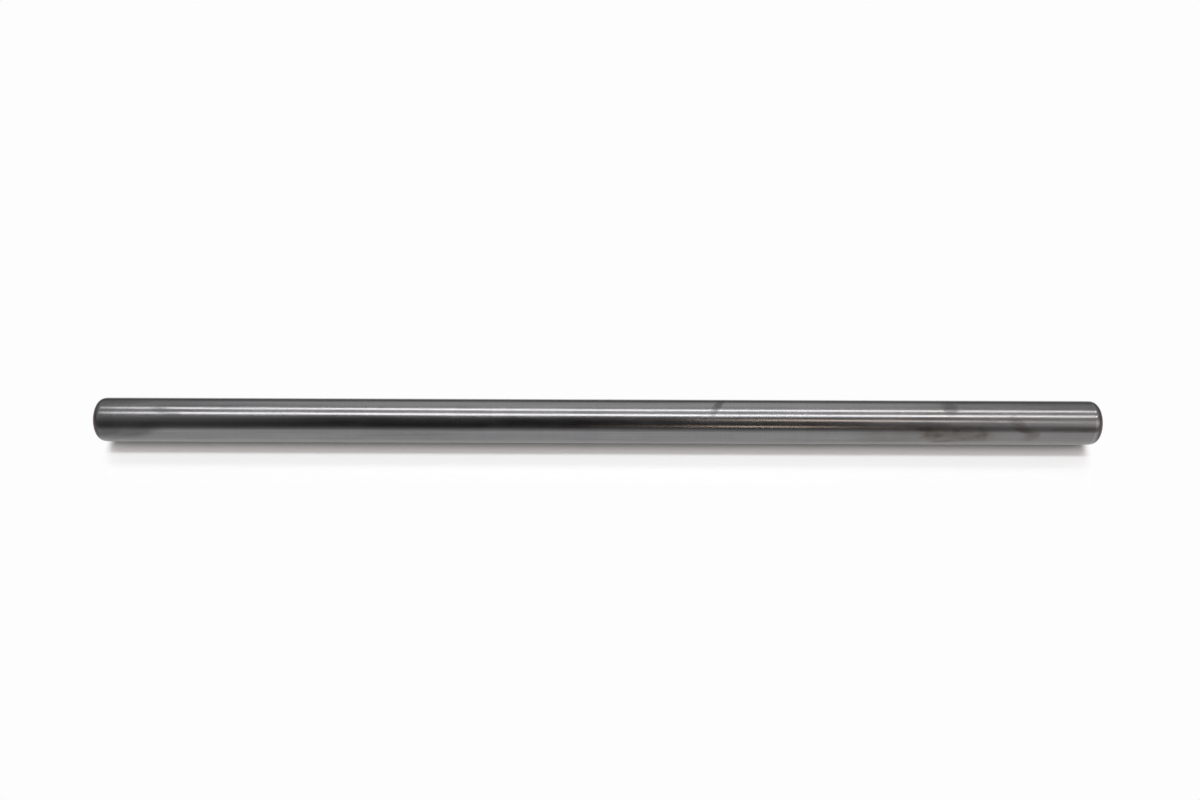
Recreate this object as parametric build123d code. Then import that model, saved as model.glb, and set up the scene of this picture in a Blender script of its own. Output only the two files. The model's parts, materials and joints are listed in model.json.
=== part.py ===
from build123d import *
import os

# A plain round axle: one solid steel bar, ground to one diameter from end to end, with the edge
# of each flat end face rounded over.
#
# Frame: the bar lies along X with Z up, and the origin is on its axis at mid-length.
# All sizes are in millimetres.

# Driving dimensions
AXLE_DIAMETER = 25.4
AXLE_LENGTH = 577.85
END_EDGE_ROUND = 4.7625

# Sizes that follow from them
axle_radius = AXLE_DIAMETER / 2
half_length = AXLE_LENGTH / 2
journal_end = half_length - END_EDGE_ROUND
end_face_radius = axle_radius - END_EDGE_ROUND


def half_section():
    """The lengthwise section above the axis, in the XY plane, from the left end to the right one."""
    with BuildSketch(Plane.XY) as section:
        with BuildLine():
            left_face = Line((-half_length, 0), (-half_length, end_face_radius))
            left_edge = RadiusArc(left_face @ 1, (-journal_end, axle_radius), END_EDGE_ROUND)
            journal = Line(left_edge @ 1, (journal_end, axle_radius))
            right_edge = RadiusArc(journal @ 1, (half_length, end_face_radius), END_EDGE_ROUND)
            right_face = Line(right_edge @ 1, (half_length, 0))
            Line(right_face @ 1, left_face @ 0)
        make_face()
    return section.sketch


def axle_shaft():
    """The whole bar: the section turned once about the bar's own axis."""
    shaft = revolve(half_section(), axis=Axis.X, revolution_arc=360)
    shaft.label = "axle_shaft"
    return shaft


os.makedirs("parts", exist_ok=True)
export_step(axle_shaft(), "parts/axle_shaft.step")
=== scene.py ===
import json
import math
from types import SimpleNamespace

import bmesh
import bpy
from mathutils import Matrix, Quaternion, Vector


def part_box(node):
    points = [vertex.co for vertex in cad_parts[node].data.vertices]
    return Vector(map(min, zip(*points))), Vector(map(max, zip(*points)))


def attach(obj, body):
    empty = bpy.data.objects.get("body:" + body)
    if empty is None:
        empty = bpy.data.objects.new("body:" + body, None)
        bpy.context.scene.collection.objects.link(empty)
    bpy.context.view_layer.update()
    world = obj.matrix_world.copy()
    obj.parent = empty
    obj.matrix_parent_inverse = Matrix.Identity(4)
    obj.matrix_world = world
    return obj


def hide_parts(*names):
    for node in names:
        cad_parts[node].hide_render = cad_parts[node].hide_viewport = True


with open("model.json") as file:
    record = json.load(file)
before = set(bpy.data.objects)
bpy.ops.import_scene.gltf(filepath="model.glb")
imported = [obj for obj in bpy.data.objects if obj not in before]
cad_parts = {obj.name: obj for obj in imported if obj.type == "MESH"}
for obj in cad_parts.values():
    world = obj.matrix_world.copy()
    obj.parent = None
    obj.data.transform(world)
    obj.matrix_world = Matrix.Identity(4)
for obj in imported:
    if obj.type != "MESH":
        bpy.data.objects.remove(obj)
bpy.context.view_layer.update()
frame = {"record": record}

# The shaft's sizes, from the frame, in metres. It lies along X with the origin at its middle.
NODE = "axle_shaft"
MM_PER_M = 1000.0
JOURNAL = next(m for m in frame["record"]["mounts"] if m["name"] == "journal")
SHAFT_RADIUS = JOURNAL["dims"]["r_mm"] / MM_PER_M
JOURNAL_END = JOURNAL["dims"]["length_mm"] / MM_PER_M / 2
HALF_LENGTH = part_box(NODE)[1].x
EDGE_ROUND = HALF_LENGTH - JOURNAL_END
FACE_RADIUS = SHAFT_RADIUS - EDGE_ROUND
FLOOR_Z = -SHAFT_RADIUS

# The camera, from the shaft's outline in the 1200 x 800 photograph
PHOTO_WIDTH = 1200
PHOTO_CENTRE = (599.5, 399.5)
SHAFT_MIDDLE_PIXEL = (597.8, 420.7)
FOCAL_PIXELS = 1130.0
SHAFT_RADIUS_PIXELS = 21.89
CAMERA_ELEVATION = math.radians(54.5)
CAMERA_ROLL = math.radians(0.208)
SENSOR_WIDTH = 36.0


def camera_distance():
    """How far the camera is from the shaft's axis, from how thick the shaft looks."""
    return FOCAL_PIXELS * SHAFT_RADIUS / SHAFT_RADIUS_PIXELS


def make_camera():
    data = bpy.data.cameras.new("camera")
    data.sensor_width = SENSOR_WIDTH
    data.lens = SENSOR_WIDTH * FOCAL_PIXELS / PHOTO_WIDTH
    camera = bpy.data.objects.new("camera", data)
    bpy.context.scene.collection.objects.link(camera)
    back = Vector((0, -math.cos(CAMERA_ELEVATION), math.sin(CAMERA_ELEVATION)))
    camera.location = back * camera_distance()
    right_of_centre = SHAFT_MIDDLE_PIXEL[0] - PHOTO_CENTRE[0]
    below_centre = SHAFT_MIDDLE_PIXEL[1] - PHOTO_CENTRE[1]
    aim = (-back).to_track_quat("-Z", "Y")
    aim @= Quaternion((1, 0, 0), math.atan(below_centre / FOCAL_PIXELS))
    aim @= Quaternion((0, 1, 0), math.atan(right_of_centre / FOCAL_PIXELS))
    aim @= Quaternion((0, 0, 1), CAMERA_ROLL)
    camera.rotation_mode = "QUATERNION"
    camera.rotation_quaternion = aim
    bpy.context.scene.camera = camera


# Node helpers
def add_node(tree, kind, **values):
    """A new node. Plain values go to its settings, and a dict named inputs to its sockets."""
    node = tree.nodes.new(kind)
    for name, value in values.items():
        if name == "inputs":
            for socket, content in value.items():
                set_or_link(tree, node.inputs[socket], content)
        else:
            setattr(node, name, value)
    return node


def set_or_link(tree, socket, content):
    if isinstance(content, bpy.types.NodeSocket):
        tree.links.new(content, socket)
    else:
        socket.default_value = content


def math_node(tree, operation, a, b=0.0, clamp=False):
    node = add_node(tree, "ShaderNodeMath", operation=operation, use_clamp=clamp)
    set_or_link(tree, node.inputs[0], a)
    set_or_link(tree, node.inputs[1], b)
    return node.outputs[0]


def vector_node(tree, operation, a, b):
    return add_node(tree, "ShaderNodeVectorMath", operation=operation, inputs={0: a, 1: b}).outputs[0]


def ramp(tree, value, low, high, at_low=0.0, at_high=1.0, smooth=True):
    """at_low where value is low or less, at_high where it is high or more."""
    inputs = {"Value": value, "From Min": low, "From Max": high, "To Min": at_low, "To Max": at_high}
    kind = "SMOOTHSTEP" if smooth else "LINEAR"
    node = add_node(tree, "ShaderNodeMapRange", clamp=True, interpolation_type=kind, inputs=inputs)
    return node.outputs["Result"]


def product(tree, *factors):
    value = factors[0]
    for factor in factors[1:]:
        value = math_node(tree, "MULTIPLY", value, factor)
    return value


def total(tree, *terms):
    value = terms[0]
    for term in terms[1:]:
        value = math_node(tree, "ADD", value, term)
    return value


def mix_colour(tree, share, first, second):
    """The sockets 0, 6 and 7 are the share and the two colours."""
    node = add_node(tree, "ShaderNodeMix", data_type="RGBA", inputs={0: share, 6: first, 7: second})
    return node.outputs[2]


def scale_colour(tree, colour, factor):
    if isinstance(colour, tuple):
        colour = colour[:3]
    node = add_node(tree, "ShaderNodeVectorMath", operation="SCALE", inputs={0: colour, "Scale": factor})
    return node.outputs[0]


def new_material(name):
    material = bpy.data.materials.new(name)
    material.use_nodes = True
    material.node_tree.nodes.clear()
    return material, material.node_tree


# The shaft's mesh
AROUND = 192
JOURNAL_RINGS = 220
ROUND_RINGS = 20
FACE_GROOVE_PITCH = 0.0004
FACE_GROOVE_DEPTH = 0.000012


def face_profile():
    """The left end face from its centre outwards, with the fine rings that a lathe tool leaves."""
    points = []
    rings = int(FACE_RADIUS / FACE_GROOVE_PITCH)
    for i in range(1, rings):
        points.append((-HALF_LENGTH, (i - 0.5) * FACE_GROOVE_PITCH))
        points.append((-HALF_LENGTH + FACE_GROOVE_DEPTH, i * FACE_GROOVE_PITCH))
    points.append((-HALF_LENGTH, FACE_RADIUS - FACE_GROOVE_PITCH / 2))
    return points


def round_profile():
    """The left end's rounded edge, from the face to the ground diameter."""
    points = []
    for i in range(ROUND_RINGS + 1):
        a = math.pi / 2 * i / ROUND_RINGS
        points.append((-JOURNAL_END - EDGE_ROUND * math.cos(a), FACE_RADIUS + EDGE_ROUND * math.sin(a)))
    return points


def shaft_profile():
    left = face_profile() + round_profile()
    step = 2 * JOURNAL_END / JOURNAL_RINGS
    journal = [(-JOURNAL_END + i * step, SHAFT_RADIUS) for i in range(1, JOURNAL_RINGS)]
    return left + journal + [(-x, r) for x, r in reversed(left)]


def turned_mesh(name, profile):
    """A mesh from a profile, a list of (x, radius), turned about X and closed at both ends."""
    bm = bmesh.new()
    rings = []
    for x, radius in profile:
        ring = []
        for j in range(AROUND):
            a = 2 * math.pi * j / AROUND
            ring.append(bm.verts.new((x, radius * math.cos(a), radius * math.sin(a))))
        rings.append(ring)
    for first, second in zip(rings, rings[1:]):
        for j in range(AROUND):
            k = (j + 1) % AROUND
            bm.faces.new((first[j], second[j], second[k], first[k]))
    for ring, x in ((rings[0], -HALF_LENGTH), (rings[-1], HALF_LENGTH)):
        centre = bm.verts.new((x, 0, 0))
        for j in range(AROUND):
            bm.faces.new((centre, ring[j], ring[(j + 1) % AROUND]))
    bmesh.ops.recalc_face_normals(bm, faces=bm.faces)
    for face in bm.faces:
        face.smooth = True
    mesh = bpy.data.meshes.new(name)
    bm.to_mesh(mesh)
    bm.free()
    return mesh


# The steel's colours
STEEL_COOL = (0.2080, 0.2060, 0.2105, 1)
STEEL_WARM = (0.2090, 0.2040, 0.2035, 1)
OIL_DARK = (0.098, 0.098, 0.099, 1)
STAIN_BROWN = (0.104, 0.089, 0.076, 1)
LEFT_END_GREEN = (0.122, 0.130, 0.121, 1)
# The rounded edges are painted dark as painted shade, and the outer part's maroon is a painted colour
# fringe
ROUND_PAINTED_OUTER_SHADE = (0.142, 0.098, 0.105, 1)
ROUND_PAINTED_INNER_SHADE = (0.078, 0.068, 0.070, 1)
# A painted highlight, the lighter colour of the rim between the ground part and each rounded edge
RIM_PAINTED_HIGHLIGHT = (0.300, 0.295, 0.290, 1)
FACE_COLOUR = (0.260, 0.240, 0.232, 1)

# Places along the shaft, in metres from the middle: where the steel turns from cool to warm, where
# the greenish left end starts to fade and is gone, and from where both ends grow duller
WARM_FROM, WARM_TO = 0.08, 0.2
GREEN_FADES_FROM, GREEN_GONE_AT = -0.2768, -0.2754
GREEN_SHARE = 0.25
DULL_END_FROM = 0.225

# The rim at each end of the ground part, painted lighter as a painted highlight: how far inside it begins
# and is full, how far outside it is gone, and the painted highlight's share from the left half to the
# right
RIM_FROM, RIM_FULL_FROM = 0.0010, 0.0002
RIM_GONE_AT = 0.0004
RIM_HIGHLIGHT_LEFT_TO_RIGHT = (-0.1, 0.1, 0.1, 0.6)

# How far past the ground part the rounded edge's look begins and is full, how far inside both its
# borders its painted shade changes, and how far before the end face that one's look begins and is full
ROUND_FROM, ROUND_FULL_FROM = 0.0008, 0.0020
ROUND_CHANGE_MARGIN = 0.0010
FACE_FROM, FACE_FULL_FROM = 0.0006, 0.0001

# Noise on the steel, each as: features a metre along X, Y and Z, detail and roughness
HANDLING_PATCHES = ((28.0, 110.0, 110.0), 4.0, 0.6)
BLOTCHES = ((130.0, 240.0, 240.0), 4.0, 0.65)
LONG_STREAKS = ((9.0, 620.0, 620.0), 3.0, 0.6)
GRINDING_MARKS = ((1100.0, 9.0, 9.0), 2.0, 0.5)
GRINDING_BANDS = ((160.0, 6.0, 6.0), 3.0, 0.6)

# The stretch of a noise's 0 to 1 that the ground steel's tone follows, and a narrower one that its
# roughness and the ends follow
TONE_SPAN = (0.25, 0.75)
NARROW_SPAN = (0.3, 0.7)

# How far each noise darkens and lightens the ground steel, and by what factor blotches do the ends
PATCH_TONE = (-0.06, 0.05)
STREAK_TONE = (-0.10, 0.09)
GRINDING_TONE = (-0.025, 0.025)
BAND_TONE = (-0.02, 0.02)
END_TONE = (0.8, 1.15)

# How patches thin the oil and blotches thin the stains: noise from and to, and the factors there
OIL_BY_PATCH = (0.3, 0.6, 0.75, 1.0)
STAIN_BY_BLOTCH = (0.3, 0.62, 0.5, 1.0)

# The roughness of clean ground steel, what patches and marks add to it up to a limit, the factor at
# the rim, and what the rounded edges and the end faces add in turn
CLEAN_ROUGHNESS = 0.215
PATCH_ROUGHNESS = (-0.02, 0.03)
GRINDING_ROUGHNESS = (-0.006, 0.006)
DULL_END_ROUGHNESS = 0.01
OIL_ROUGHNESS = 0.05
STAIN_ROUGHNESS = 0.06
SPOT_ROUGHNESS = 0.1
MOST_ROUGHNESS = 0.262
RIM_ROUGHNESS_FACTOR = 0.8
ROUND_ROUGHNESS = 0.2
FACE_ROUGHNESS = -0.08

# The depth of the grinding marks, and the depth and strength of the pits on the ends
GRINDING_DEPTH = 0.000001
PIT_DEPTH = 0.00006
PIT_STRENGTH = 0.5

# How strongly the grinding marks spread reflections, and the part of a turn that points the spread
# along the shaft, across the marks
ANISOTROPY = 0.5
ANISOTROPY_TURN = 0.25

# Marks on the ground surface, each as: place along the shaft, place around it from the top line
# toward the back, half length and half width, all in mm, turn in degrees, strength
OIL_SMEARS = [
    (68.2, 2.0, 10.0, 2.6, 60, 0.90),
    (201.5, 1.2, 5.5, 6.5, 15, 0.80),
    (209.0, 5.6, 13.0, 1.8, 3, 0.45),
    (-248.5, -2.2, 8.0, 3.0, -12, 0.45),
    (-241.5, -4.2, 5.0, 1.6, 8, 0.40),
    (-284.0, -14.8, 26.0, 5.6, 4, 1.00),
    (-264.0, -14.6, 18.0, 5.2, 12, 0.85),
    (190.0, -9.4, 13.0, 2.4, -4, 0.55),
    (179.0, -9.2, 9.0, 2.0, 3, 0.50),
    (-276.0, 4.5, 26.0, 3.4, 0, 0.45),
    (225.0, -8.5, 16.0, 1.8, -4, 0.25),
    (-110.0, -17.0, 40.0, 1.6, 1, 0.22),
    (20.0, 5.5, 55.0, 0.9, 0, 0.30),
    (150.0, -20.5, 45.0, 1.1, 0, 0.25),
    (-60.0, 24.0, 14.0, 4.0, 35, 0.45),
    (160.0, 27.0, 22.0, 2.5, -8, 0.40),
]
BROWN_STAINS = [
    (168.0, -16.5, 26.0, 7.5, 0, 0.30),
    (202.0, -15.6, 28.0, 7.0, -2, 0.72),
    (191.5, -15.6, 8.5, 5.8, -10, 1.00),
    (186.0, -11.8, 9.0, 2.6, -6, 0.85),
    (204.0, -13.4, 4.5, 3.4, 15, 0.85),
    (218.8, -15.8, 5.5, 6.4, -8, 0.95),
    (198.0, -20.5, 10.0, 2.4, 5, 0.75),
    (239.0, -8.4, 8.0, 3.6, -38, 0.45),
    (243.0, -12.4, 8.5, 2.6, -12, 0.80),
    (247.5, -16.2, 6.0, 4.4, 25, 0.60),
    (272.0, -11.8, 18.0, 1.8, 0, 0.40),
    (-215.0, 22.0, 9.0, 4.5, 20, 0.60),
    (95.0, 31.0, 12.0, 3.0, -15, 0.50),
]
DULL_SPOTS = [
    (-279.0, -9.0, 9.0, 4.0, 0, 0.50),
    (-271.0, -11.5, 5.5, 5.5, 3, 0.40),
    (-250.0, -2.0, 9.0, 3.0, -10, 0.14),
    (-278.0, -4.3, 13.0, 3.0, 0, 0.15),
    (241.0, -4.3, 44.0, 3.4, 0, 0.38),
    (-170.0, -2.4, 30.0, 4.0, 0, 0.10),
    (201.5, 2.0, 7.0, 6.5, 15, 0.50),
    (68.0, 2.6, 8.0, 2.8, 60, 0.40),
    (200.0, -9.5, 18.0, 3.0, 0, 0.30),
]
# The parts of a mark's half size up to which it has its full strength and at which it is gone
MARK_FULL_TO, MARK_GONE_AT = 0.35, 1.15
# How far the edges of smears and stains wander, along and around in mm, and the noise they follow
EDGE_WANDER = (7.0, 3.6, 0.0)
EDGE_NOISE = {"Scale": 0.22, "Detail": 5.0, "Roughness": 0.65}
NOISE_MIDDLE = (0.5, 0.5, 0.5)


def surface_place(tree, x, y, z):
    """Where a point lies on the ground surface: along the shaft, then around it from the top, in mm."""
    around = math_node(tree, "MULTIPLY", math_node(tree, "ARCTAN2", y, z), SHAFT_RADIUS * MM_PER_M)
    along = math_node(tree, "MULTIPLY", x, MM_PER_M)
    return add_node(tree, "ShaderNodeCombineXYZ", inputs={"X": along, "Y": around}).outputs[0]


def wandering(tree, surface):
    """The same place, moved a little by noise, so that marks get uneven edges."""
    shift = add_node(tree, "ShaderNodeTexNoise", inputs={"Vector": surface, **EDGE_NOISE}).outputs[1]
    shift = vector_node(tree, "SUBTRACT", shift, NOISE_MIDDLE)
    shift = vector_node(tree, "MULTIPLY", shift, EDGE_WANDER)
    return vector_node(tree, "ADD", surface, shift)


def noise(tree, place, stretch, detail, rough):
    """Noise from 0 to 1 with so many features a metre along X, Y and Z."""
    scaled = vector_node(tree, "MULTIPLY", place, stretch)
    inputs = {"Vector": scaled, "Scale": 1.0, "Detail": detail, "Roughness": rough}
    return add_node(tree, "ShaderNodeTexNoise", inputs=inputs).outputs[0]


def marks(tree, place, rows):
    """How strongly the marks of one list cover a place, 0 to 1."""
    cover = None
    for along, around, half_length, half_width, turn, strength in rows:
        inputs = {
            "Vector": place,
            "Location": (along, around, 0),
            "Rotation": (0, 0, math.radians(turn)),
            "Scale": (half_length, half_width, 1),
        }
        own = add_node(tree, "ShaderNodeMapping", vector_type="TEXTURE", inputs=inputs).outputs[0]
        away = add_node(tree, "ShaderNodeVectorMath", operation="LENGTH", inputs={0: own})
        here = ramp(tree, away.outputs["Value"], MARK_FULL_TO, MARK_GONE_AT, strength, 0.0)
        cover = here if cover is None else math_node(tree, "MAXIMUM", cover, here)
    return cover


def steel_factors(tree):
    """The noises, marks and zones that the steel's colour, roughness and relief are made from."""
    place = add_node(tree, "ShaderNodeTexCoord").outputs["Object"]
    x, y, z = add_node(tree, "ShaderNodeSeparateXYZ", inputs={0: place}).outputs
    steel = SimpleNamespace(x=x)

    # Patches of handling, small blotches, streaks along the shaft, grinding marks around it
    steel.patches = noise(tree, place, *HANDLING_PATCHES)
    steel.blotches = noise(tree, place, *BLOTCHES)
    steel.streaks = noise(tree, place, *LONG_STREAKS)
    steel.grinding = noise(tree, place, *GRINDING_MARKS)
    steel.bands = noise(tree, place, *GRINDING_BANDS)

    # The marks, of which smears and stains have uneven edges
    surface = surface_place(tree, x, y, z)
    uneven = wandering(tree, surface)
    oil_left = ramp(tree, steel.patches, *OIL_BY_PATCH)
    stain_left = ramp(tree, steel.blotches, *STAIN_BY_BLOTCH)
    steel.oil = product(tree, marks(tree, uneven, OIL_SMEARS), oil_left)
    steel.stain = product(tree, marks(tree, uneven, BROWN_STAINS), stain_left)
    steel.dull = marks(tree, surface, DULL_SPOTS)

    # Which part of the shaft this is
    end = math_node(tree, "ABSOLUTE", x)
    steel.left_end = ramp(tree, x, GREEN_FADES_FROM, GREEN_GONE_AT, 1.0, 0.0)
    steel.near_end = ramp(tree, end, DULL_END_FROM, JOURNAL_END)
    rim_inside = ramp(tree, end, JOURNAL_END - RIM_FROM, JOURNAL_END - RIM_FULL_FROM)
    rim_outside = ramp(tree, end, JOURNAL_END, JOURNAL_END + RIM_GONE_AT, 1.0, 0.0)
    steel.rim = product(tree, rim_inside, rim_outside)
    steel.on_round = ramp(tree, end, JOURNAL_END + ROUND_FROM, JOURNAL_END + ROUND_FULL_FROM)
    inner, outer = JOURNAL_END + ROUND_CHANGE_MARGIN, HALF_LENGTH - ROUND_CHANGE_MARGIN
    steel.outer_round = ramp(tree, end, inner, outer)
    steel.on_face = ramp(tree, end, HALF_LENGTH - FACE_FROM, HALF_LENGTH - FACE_FULL_FROM)
    return steel


def steel_colour(tree, steel):
    """Toned, oily, stained ground steel, a painted highlight on the rims, painted shade on the rounded
    edges, end faces.
    """
    colour = mix_colour(tree, ramp(tree, steel.x, WARM_FROM, WARM_TO), STEEL_COOL, STEEL_WARM)
    tone = total(
        tree,
        ramp(tree, steel.patches, *TONE_SPAN, *PATCH_TONE),
        ramp(tree, steel.streaks, *TONE_SPAN, *STREAK_TONE),
        ramp(tree, steel.grinding, *TONE_SPAN, *GRINDING_TONE),
        ramp(tree, steel.bands, *TONE_SPAN, *BAND_TONE),
        1.0,
    )
    colour = scale_colour(tree, colour, tone)
    colour = mix_colour(tree, steel.oil, colour, OIL_DARK)
    colour = mix_colour(tree, steel.stain, colour, STAIN_BROWN)
    colour = mix_colour(tree, product(tree, steel.left_end, GREEN_SHARE), colour, LEFT_END_GREEN)
    # The rim's lighter colour is a painted highlight, stronger at the right end than at the left
    rim_highlight_share = product(tree, steel.rim, ramp(tree, steel.x, *RIM_HIGHLIGHT_LEFT_TO_RIGHT))
    colour = mix_colour(tree, rim_highlight_share, colour, RIM_PAINTED_HIGHLIGHT)
    end_tone = ramp(tree, steel.blotches, *NARROW_SPAN, *END_TONE)
    # Painted shade on the rounded edges, darkest inside, with a maroon painted colour fringe outside
    round_painted_shade = mix_colour(tree, steel.outer_round, ROUND_PAINTED_INNER_SHADE, ROUND_PAINTED_OUTER_SHADE)
    colour = mix_colour(tree, steel.on_round, colour, scale_colour(tree, round_painted_shade, end_tone))
    return mix_colour(tree, steel.on_face, colour, scale_colour(tree, FACE_COLOUR, end_tone))


def steel_roughness(tree, steel):
    value = total(
        tree,
        CLEAN_ROUGHNESS,
        ramp(tree, steel.patches, *NARROW_SPAN, *PATCH_ROUGHNESS),
        ramp(tree, steel.grinding, *NARROW_SPAN, *GRINDING_ROUGHNESS),
        product(tree, steel.near_end, DULL_END_ROUGHNESS),
        product(tree, steel.oil, OIL_ROUGHNESS),
        product(tree, steel.stain, STAIN_ROUGHNESS),
        product(tree, steel.dull, SPOT_ROUGHNESS),
    )
    value = math_node(tree, "MINIMUM", value, MOST_ROUGHNESS)
    value = product(tree, value, ramp(tree, steel.rim, 0.0, 1.0, 1.0, RIM_ROUGHNESS_FACTOR))
    on_round = product(tree, steel.on_round, ROUND_ROUGHNESS)
    on_face = product(tree, steel.on_face, FACE_ROUGHNESS)
    return total(tree, value, on_round, on_face)


def steel_normal(tree, steel):
    """Grinding marks all over, and coarser pits on the rounded edges and the end faces."""
    lines = {"Strength": 1.0, "Distance": GRINDING_DEPTH, "Height": steel.grinding}
    ground = add_node(tree, "ShaderNodeBump", inputs=lines).outputs[0]
    pits = {
        "Height": ramp(tree, steel.blotches, *NARROW_SPAN),
        "Strength": product(tree, steel.on_round, PIT_STRENGTH),
        "Distance": PIT_DEPTH,
        "Normal": ground,
    }
    return add_node(tree, "ShaderNodeBump", inputs=pits).outputs[0]


def ground_steel():
    """Hardened steel, ground all round, oily and a little stained, with turned ends."""
    material, tree = new_material("ground_steel")
    steel = steel_factors(tree)
    tangent = add_node(tree, "ShaderNodeTangent", direction_type="RADIAL", axis="X")
    bsdf = add_node(tree, "ShaderNodeBsdfPrincipled", inputs={
        "Base Color": steel_colour(tree, steel),
        "Metallic": 1.0,
        "Roughness": steel_roughness(tree, steel),
        "Specular Tint": (1.0, 1.0, 1.0, 1),
        "Anisotropic": ANISOTROPY,
        "Anisotropic Rotation": ANISOTROPY_TURN,
        "Tangent": tangent.outputs[0],
        "Normal": steel_normal(tree, steel),
    })
    add_node(tree, "ShaderNodeOutputMaterial", inputs={"Surface": bsdf.outputs[0]})
    return material


def make_shaft():
    shaft = bpy.data.objects.new("ground_shaft", turned_mesh("ground_shaft", shaft_profile()))
    bpy.context.scene.collection.objects.link(shaft)
    shaft.data.materials.append(ground_steel())
    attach(shaft, "root")
    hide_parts(NODE)


# The floor. Near the shaft it is lit and holds the shadow, and farther off it is plain white.
FLOOR_HALF = 4.0
FLOOR_COLOUR = (0.885, 0.885, 0.885, 1)
PLAIN_WHITE = 0.982
# The shadow's middle line, how far from it the floor is fully lit and from where it is plain, and
# how far inside the shaft's ends the distance starts to count faster, and how much faster
FLOOR_SHADOW_Y = -0.007
FLOOR_LIT_TO = 0.017
FLOOR_PLAIN_FROM = 0.032
FLOOR_END_MARGIN = 0.014
FLOOR_END_STRETCH = 2.4
# The floor as the steel mirrors it: behind the shaft its plain part darkens from one place to
# another, to a level, and in front a share of plain white fades out from one place to another
FLOOR_DARK_BEHIND = (0.037, 0.077)
FLOOR_BEHIND_LEVEL = 0.2
FLOOR_FRONT_FADE = (-0.012, -0.004)
FLOOR_FRONT_SHARE = 0.55


def distance_from_shadow(tree, x, y):
    """How far a place on the floor is from the shaft's shadow, in metres, counted faster past its ends."""
    past_end = math_node(tree, "SUBTRACT", math_node(tree, "ABSOLUTE", x), HALF_LENGTH - FLOOR_END_MARGIN)
    past_end = math_node(tree, "MULTIPLY", math_node(tree, "MAXIMUM", past_end, 0.0), FLOOR_END_STRETCH)
    across = math_node(tree, "SUBTRACT", y, FLOOR_SHADOW_Y)
    squares = total(tree, product(tree, past_end, past_end), product(tree, across, across))
    return math_node(tree, "SQRT", squares)


def floor_material():
    material, tree = new_material("floor")
    place = add_node(tree, "ShaderNodeTexCoord").outputs["Object"]
    axes = add_node(tree, "ShaderNodeSeparateXYZ", inputs={0: place}).outputs
    mirrored = add_node(tree, "ShaderNodeLightPath").outputs["Is Glossy Ray"]
    behind = product(tree, ramp(tree, axes["Y"], *FLOOR_DARK_BEHIND), mirrored)
    in_front = product(tree, ramp(tree, axes["Y"], *FLOOR_FRONT_FADE, FLOOR_FRONT_SHARE, 0.0), mirrored)
    away = distance_from_shadow(tree, axes["X"], axes["Y"])
    unlit = math_node(tree, "MAXIMUM", ramp(tree, away, FLOOR_LIT_TO, FLOOR_PLAIN_FROM), in_front)
    level = ramp(tree, behind, 0.0, 1.0, PLAIN_WHITE, FLOOR_BEHIND_LEVEL, smooth=False)
    lit = add_node(tree, "ShaderNodeBsdfDiffuse", inputs={"Color": FLOOR_COLOUR})
    plain = add_node(tree, "ShaderNodeEmission", inputs={"Color": (1, 1, 1, 1), "Strength": level})
    looks = {0: unlit, 1: lit.outputs[0], 2: plain.outputs[0]}
    mix = add_node(tree, "ShaderNodeMixShader", inputs=looks)
    add_node(tree, "ShaderNodeOutputMaterial", inputs={"Surface": mix.outputs[0]})
    return material


def make_floor():
    corners = [(-1, -1), (1, -1), (1, 1), (-1, 1)]
    points = [(i * FLOOR_HALF, j * FLOOR_HALF, FLOOR_Z) for i, j in corners]
    mesh = bpy.data.meshes.new("floor")
    mesh.from_pydata(points, [], [(0, 1, 2, 3)])
    mesh.materials.append(floor_material())
    floor = bpy.data.objects.new("floor", mesh)
    bpy.context.scene.collection.objects.link(floor)


# The lamps: strips along the shaft, each as: name, angle behind the vertical and turn in degrees,
# where it begins and ends to the right of the middle, its width, watts a metre, and its colour
STRIP_DISTANCE = 0.62
GLOSS_WHITE = (1.0, 0.99, 1.0)
THIN_WARM = (1.06, 1.0, 0.97)
THIN_TAN = (1.27, 1.0, 0.79)
FLOOR_WHITE = (0.97, 1.0, 1.02)
# These shine only in the steel. The two long lines bow a little, so each is two strips that meet.
GLOSS_STRIPS = [
    ("near_left_in_gloss", -3.2, 4.0, -0.535, 0.0, 0.083, 1.572, GLOSS_WHITE),
    ("near_right_in_gloss", -3.2, -1.2, 0.0, 0.600, 0.083, 1.572, GLOSS_WHITE),
    ("far_left_in_gloss", 24.5, 4.4, -0.560, 0.0, 0.083, 1.345, GLOSS_WHITE),
    ("far_right_in_gloss", 24.5, -1.2, 0.0, 0.600, 0.083, 1.345, GLOSS_WHITE),
    ("thin_upper_in_gloss", -25.9, 4.0, 0.168, 0.290, 0.066, 0.60, THIN_TAN),
    ("thin_right_in_gloss", -25.9, 8.0, 0.280, 0.480, 0.070, 0.60, THIN_WARM),
    ("thin_lower_in_gloss", -61.0, 0.0, 0.134, 0.222, 0.054, 0.73, THIN_TAN),
]
# These light only the floor
FLOOR_STRIPS = [
    ("near_on_floor", 7.0, 0.0, -0.75, 0.75, 0.083, 2.033, FLOOR_WHITE),
    ("far_on_floor", 31.8, 0.0, -0.75, 0.75, 0.083, 0.633, FLOOR_WHITE),
]


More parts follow.
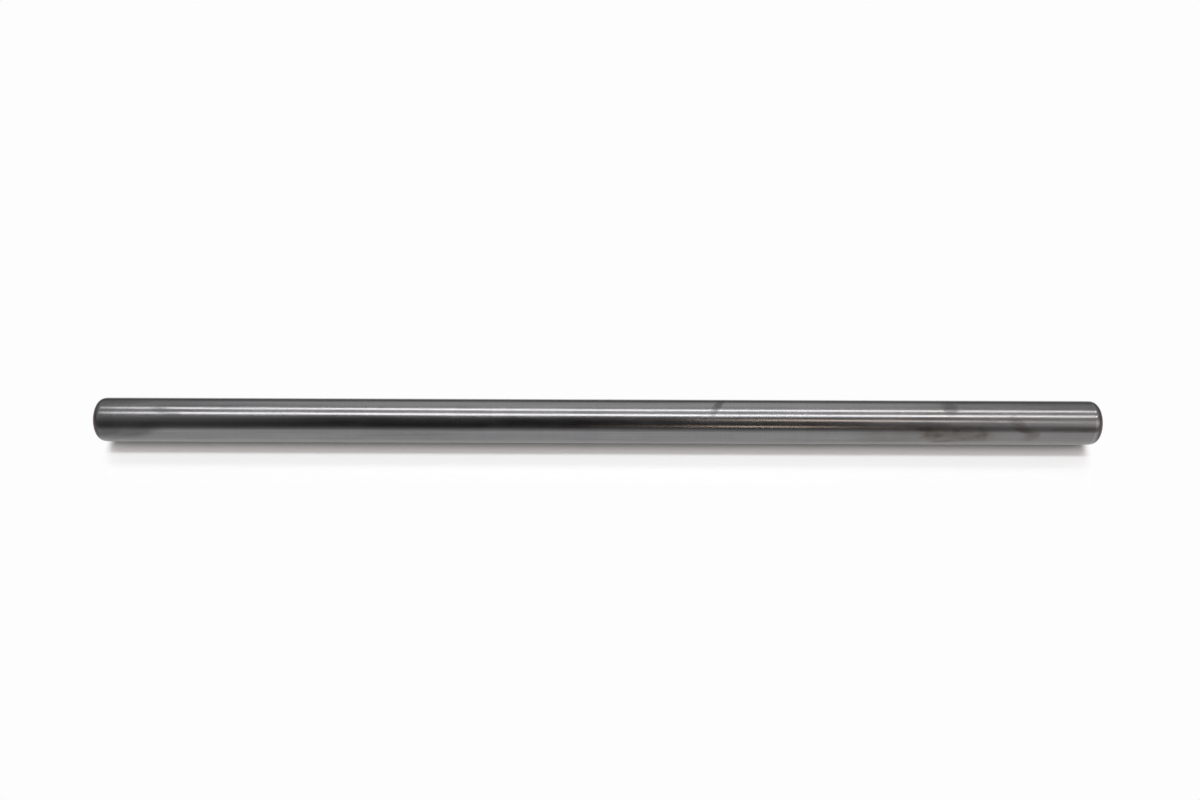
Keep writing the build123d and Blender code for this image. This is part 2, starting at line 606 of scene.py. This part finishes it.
def make_strip(in_gloss, name, behind, turn, start, stop, width, strength, colour):
    """A long thin lamp that faces the shaft. It either shines in the steel or lights the floor."""
    zenith = math.radians(behind)
    yaw = math.radians(turn)
    data = bpy.data.lights.new(name, "AREA")
    data.shape = "RECTANGLE"
    data.size = stop - start
    data.size_y = width
    data.energy = strength * data.size
    data.color = colour
    lamp = bpy.data.objects.new(name, data)
    bpy.context.scene.collection.objects.link(lamp)
    over_middle = Vector((0, math.sin(zenith), math.cos(zenith))) * STRIP_DISTANCE
    along = Vector((math.cos(yaw), -math.sin(yaw), 0))
    lamp.location = over_middle + along * (start + stop) / 2
    lamp.rotation_euler = (-zenith, 0, -yaw)
    lamp.visible_camera = False
    lamp.visible_glossy = in_gloss
    lamp.visible_diffuse = not in_gloss


def make_lamps():
    for strip in GLOSS_STRIPS:
        make_strip(True, *strip)
    for strip in FLOOR_STRIPS:
        make_strip(False, *strip)


# What the shaft reflects above the floor, by the angle round X from the camera's side over the top
SURROUND = [
    (0, 0.76), (5, 0.55), (12, 0.27), (20, 0.07), (30, 0.02), (58, 0.015), (68, 0.06), (80, 0.5),
    (100, 0.9), (125, 0.88), (142, 1.1), (164, 1.08), (174, 0.48), (180, 0.3),
]
# The same further to the left and to the right
LEFT_SURROUND = [
    (0, 0.76), (12, 0.32), (23, 0.18), (34, 0.16), (44, 0.20), (55, 0.31), (65, 0.45), (76, 0.49),
    (90, 0.5), (125, 0.48), (142, 0.5), (164, 0.52), (174, 0.3), (180, 0.15),
]
RIGHT_SURROUND = [
    (0, 0.65), (12, 0.32), (22, 0.32), (31, 0.65), (42, 1.1), (54, 1.42), (62, 1.35), (69, 0.7),
    (80, 0.45), (90, 0.5), (125, 0.5), (142, 0.55), (164, 0.5), (174, 0.23), (180, 0.15),
]
# The light on the floor, from the camera's side over the top to the back, and its colour
FILL = [(0, 0.25), (38, 0.3), (50, 0.5), (64, 0.65), (72, 1.15), (86, 1.15), (94, 0.3), (180, 0.2)]
FILL_COLOUR = (1.03, 0.99, 0.97)
# How far to the side a direction points, as its X part, where the surround changes to that of the
# left and of the right, and where the light on the floor grows, with its factors there
LEFT_CHANGE = (-0.385, -0.225)
RIGHT_CHANGE = (0.29, 0.34)
FILL_SIDES = (0.3, 0.8, 0.8, 2.2)
HALF_TURN = 180


def light_by_angle(tree, share, levels):
    """A grey that follows a list of angles in degrees with their levels. The share is of half a turn."""
    node = add_node(tree, "ShaderNodeValToRGB", inputs={0: share})
    elements = node.color_ramp.elements
    while len(elements) > 1:
        elements.remove(elements[-1])
    for i, (degrees, level) in enumerate(levels):
        position = degrees / HALF_TURN
        element = elements[0] if i == 0 else elements.new(position)
        element.position = position
        element.color = (level, level, level, 1)
    return node.outputs[0]


def background(tree, colour, strength=1.0):
    inputs = {"Color": colour, "Strength": strength}
    return add_node(tree, "ShaderNodeBackground", inputs=inputs).outputs[0]


def make_world():
    """Plain white for the camera, the surround for the steel, and the fill for the floor."""
    world = bpy.data.worlds.new("world")
    world.use_nodes = True
    tree = world.node_tree
    tree.nodes.clear()
    direction = add_node(tree, "ShaderNodeTexCoord").outputs["Generated"]
    side, forward, up = add_node(tree, "ShaderNodeSeparateXYZ", inputs={0: direction}).outputs
    toward_camera = math_node(tree, "MULTIPLY", forward, -1.0)
    angle = math_node(tree, "ARCTAN2", up, toward_camera)
    share = math_node(tree, "DIVIDE", angle, math.pi, clamp=True)
    surround = light_by_angle(tree, share, SURROUND)
    to_left = ramp(tree, side, *LEFT_CHANGE, 1.0, 0.0)
    surround = mix_colour(tree, to_left, surround, light_by_angle(tree, share, LEFT_SURROUND))
    to_right = ramp(tree, side, *RIGHT_CHANGE)
    surround = mix_colour(tree, to_right, surround, light_by_angle(tree, share, RIGHT_SURROUND))
    to_side = ramp(tree, math_node(tree, "ABSOLUTE", side), *FILL_SIDES)
    fill = scale_colour(tree, light_by_angle(tree, share, FILL), to_side)
    fill = background(tree, vector_node(tree, "MULTIPLY", fill, FILL_COLOUR))
    path = add_node(tree, "ShaderNodeLightPath").outputs
    off_camera = {0: path["Is Glossy Ray"], 1: fill, 2: background(tree, surround)}
    off_camera = add_node(tree, "ShaderNodeMixShader", inputs=off_camera).outputs[0]
    plain = background(tree, (1, 1, 1, 1), PLAIN_WHITE)
    whole = {0: path["Is Camera Ray"], 1: off_camera, 2: plain}
    whole = add_node(tree, "ShaderNodeMixShader", inputs=whole).outputs[0]
    add_node(tree, "ShaderNodeOutputWorld", inputs={"Surface": whole})
    bpy.context.scene.world = world


make_camera()
make_shaft()
make_floor()
make_lamps()
make_world()
bpy.context.scene.view_settings.view_transform = "Standard"
